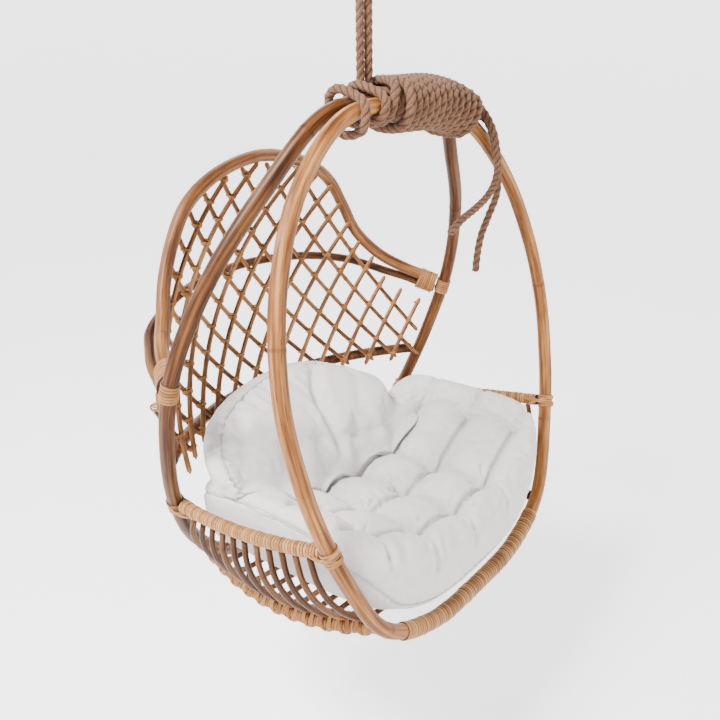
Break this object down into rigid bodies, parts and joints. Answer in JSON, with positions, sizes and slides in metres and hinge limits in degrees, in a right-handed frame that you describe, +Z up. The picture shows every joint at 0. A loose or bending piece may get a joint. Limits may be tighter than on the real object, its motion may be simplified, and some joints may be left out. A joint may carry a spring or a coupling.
{
  "type": "hanging egg chair",
  "caption": "Open rattan hanging chair of two leaning hoops with a lattice back, spindle basket and tufted cushions, hung by a wound rope from a ceiling swivel.",
  "frame": {"origin": "the middle of the ceiling plate's upper face, on the swivel's axis", "axes": "+Z up, -Y to the front of the chair, +X to the sitter's left"},
  "size_m": [0.8909, 0.6587, 1.3726],
  "materials": {
    "plate_steel": "satin",
    "washer_steel": "satin",
    "eye_steel": "satin",
    "hook_steel": "satin",
    "gate_steel": "satin",
    "pin_steel": "satin",
    "rope": "matte",
    "light_rattan": "satin",
    "dark_rattan": "satin",
    "mid_rattan": "satin",
    "cane": "satin",
    "peel": "satin",
    "cotton": "matte"
  },
  "bodies": {
    "ceiling": {"ceiling_plate": "plate_steel", "thrust_washer": "washer_steel"},
    "swivel": {"swivel_eye": "eye_steel"},
    "hook": {"snap_hook": "hook_steel", "gate_pin": "pin_steel"},
    "gate": {"hook_gate": "gate_steel"},
    "chair": {"hanger_rope": "rope", "hitch_turns": "rope", "inner_winding": "rope", "outer_winding": "rope", "short_tail": "rope", "long_tail": "rope", "front_hoop": "light_rattan", "back_hoop": "dark_rattan", "headrest_arch": "mid_rattan", "upper_back_rail": "dark_rattan", "lower_back_rail": "dark_rattan", "lattice_front_canes": "cane", "lattice_back_canes": "cane", "left_arm_rail": "mid_rattan", "right_arm_rail": "mid_rattan", "left_arm_wrap": "peel", "right_arm_wrap": "peel", "left_runner": "dark_rattan", "right_runner": "dark_rattan", "left_runner_wrap": "peel", "right_runner_wrap": "peel", "front_rim_wrap": "peel", "basket_spindles": "dark_rattan", "left_upper_lashing": "peel", "right_upper_lashing": "peel", "left_front_arm_lashing": "peel", "right_front_arm_lashing": "peel", "left_back_arm_lashing": "peel", "right_back_arm_lashing": "peel"},
    "seat": {"seat_cushion": "cotton"},
    "back": {"back_cushion": "cotton"}
  },
  "joints": [
    {"name": "swivel_spin", "type": "hinge", "parent": "ceiling", "child": "swivel", "pos_m": [0, 0, -0.0205], "axis": [0, 0, 1], "continuous": true},
    {"name": "hook_swing", "type": "hinge", "parent": "swivel", "child": "hook", "pos_m": [0, 0, -0.08], "axis": [1, 0, 0], "range_deg": [-25, 25]},
    {"name": "gate_open", "type": "hinge", "parent": "hook", "child": "gate", "pos_m": [0, 0.014, -0.1222], "axis": [1, 0, 0], "range_deg": [0, 18], "stiffness_Nm_per_rad": 0.15, "springref_deg": -17.19},
    {"name": "chair_swing", "type": "hinge", "parent": "hook", "child": "chair", "pos_m": [0, 0, -0.1442], "axis": [0, 1, 0], "range_deg": [-25, 25]},
    {"name": "seat_lift", "type": "slide", "parent": "chair", "child": "seat", "axis": [0, -0.6, 0.8], "range_m": [0, 0.15]},
    {"name": "back_lift", "type": "slide", "parent": "seat", "child": "back", "axis": [0, -0.6, 0.8], "range_m": [0, 0.15]}
  ]
}
